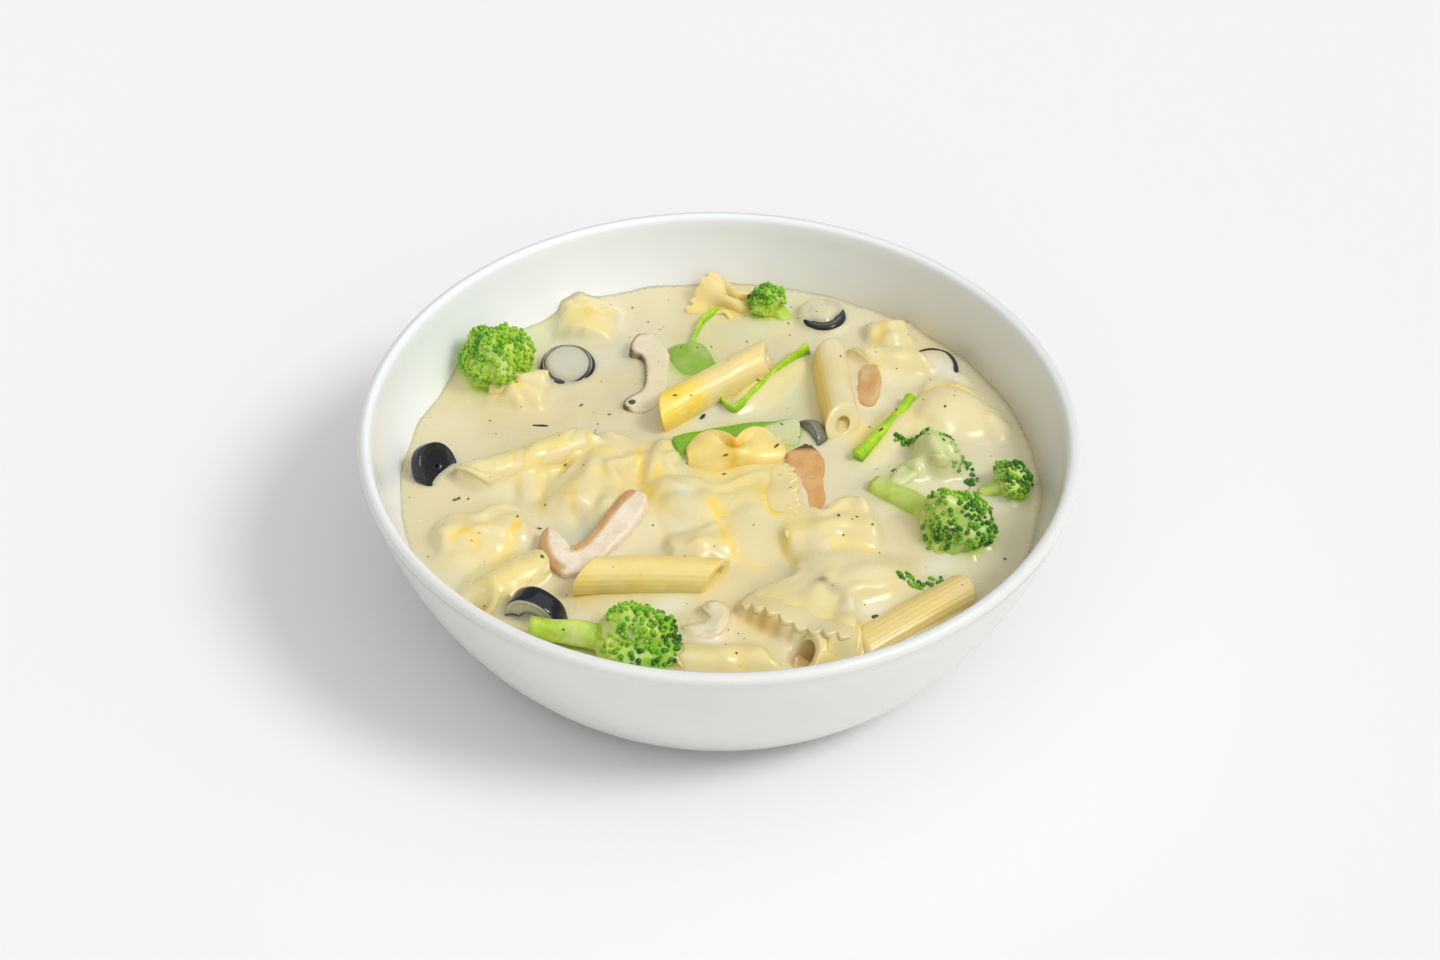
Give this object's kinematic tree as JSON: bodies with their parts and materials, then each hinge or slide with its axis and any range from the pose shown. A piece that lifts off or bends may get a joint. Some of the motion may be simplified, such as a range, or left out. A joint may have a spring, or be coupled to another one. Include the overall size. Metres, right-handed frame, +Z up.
{
  "type": "bowl of pasta in white sauce",
  "caption": "Round white bowl filled with penne and farfalle in white sauce, with broccoli, black olive rings, mushroom slices and green pepper strips.",
  "frame": {"origin": "centre of the bowl's foot, on the surface that it stands on", "axes": "+Z up out of the bowl, +X to the right and +Y away from the side that is pictured"},
  "size_m": [0.195, 0.195, 0.06],
  "materials": {
    "bowl": "glossy white glaze",
    "sauce": "wet cream sauce, soft gloss",
    "pasta": "boiled pasta, wet, soft gloss",
    "broccoli": "green buds on pale stems, matte",
    "olive": "black, wet gloss",
    "mushroom": "cooked mushroom, satin",
    "pepper": "cooked green pepper, wet gloss"
  },
  "bodies": {
    "root": {"bowl": "bowl", "sauce": "sauce", "penne_top": "pasta", "penne_upright": "pasta", "penne_front": "pasta", "penne_left": "pasta", "penne_rim": "pasta", "penne_low": "pasta", "penne_tucked": "pasta", "penne_lower_left": "pasta", "penne_back_right": "pasta", "farfalle_heart": "pasta", "farfalle_fan": "pasta", "farfalle_front": "pasta", "farfalle_curl": "pasta", "farfalle_middle": "pasta", "farfalle_crescent": "pasta", "farfalle_small": "pasta", "farfalle_back_left": "pasta", "farfalle_back": "pasta", "farfalle_left": "pasta", "farfalle_back_right": "pasta", "farfalle_right": "pasta", "farfalle_lower_left": "pasta", "farfalle_edge": "pasta", "broccoli_left": "broccoli", "broccoli_back": "broccoli", "broccoli_right": "broccoli", "broccoli_far_right": "broccoli", "broccoli_front": "broccoli", "broccoli_middle": "broccoli", "olive_ring": "olive", "olive_left": "olive", "olive_back": "olive", "olive_right": "olive", "olive_front": "olive", "olive_shard": "olive", "mushroom_brown": "mushroom", "mushroom_fork": "mushroom", "mushroom_tan": "mushroom", "mushroom_small": "mushroom", "mushroom_front": "mushroom", "pepper_bent": "pepper", "pepper_flat": "pepper", "pepper_flap": "pepper", "pepper_right": "pepper", "pepper_back": "pepper", "pepper_leaf": "pepper"}
  },
  "joints": []
}
